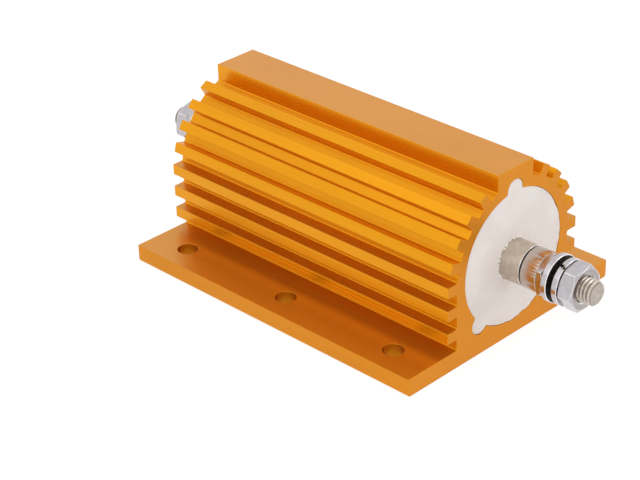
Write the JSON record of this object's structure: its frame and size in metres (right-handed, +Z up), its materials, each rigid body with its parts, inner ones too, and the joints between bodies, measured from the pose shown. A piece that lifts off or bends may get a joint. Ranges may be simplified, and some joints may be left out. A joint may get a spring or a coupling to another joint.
{
  "type": "aluminium housed power resistor",
  "caption": "Wirewound power resistor potted in a finned aluminium extrusion, with drilled mounting flanges along its base and a threaded stud terminal at each end.",
  "frame": {"origin": "centre of the flat underside, midway along the housing", "axes": "+X along the housing and both studs, +Y across the flanges, +Z up from the mounting face to the top bar"},
  "size_m": [0.1352, 0.071, 0.0434],
  "materials": {
    "anodised_housing": "satin gold-orange anodised extrusion, machined ends",
    "end_cement": "matt cast cement",
    "filler": "matt moulded",
    "core_ceramic": "matt fired",
    "resistance_wire": "drawn resistance alloy",
    "cap_metal": "pressed, plated",
    "dull_nickel": "turned, dull nickel plate",
    "bright_nickel": "bright nickel plate"
  },
  "bodies": {
    "root": {"housing": "anodised_housing", "insulating_filler": "filler", "ceramic_core": "core_ceramic", "resistance_winding": "resistance_wire", "end_cap_front": "cap_metal", "end_cap_rear": "cap_metal", "end_seal_front": "end_cement", "end_seal_rear": "end_cement", "terminal_post_front": "dull_nickel", "terminal_post_rear": "dull_nickel", "spacer_sleeve_front": "bright_nickel", "spacer_sleeve_rear": "bright_nickel", "lock_nut_front": "bright_nickel", "lock_nut_rear": "bright_nickel", "flat_washer_front": "bright_nickel", "flat_washer_rear": "bright_nickel", "spring_washer_front": "bright_nickel", "spring_washer_rear": "bright_nickel", "terminal_nut_front": "bright_nickel", "terminal_nut_rear": "bright_nickel"}
  },
  "joints": []
}
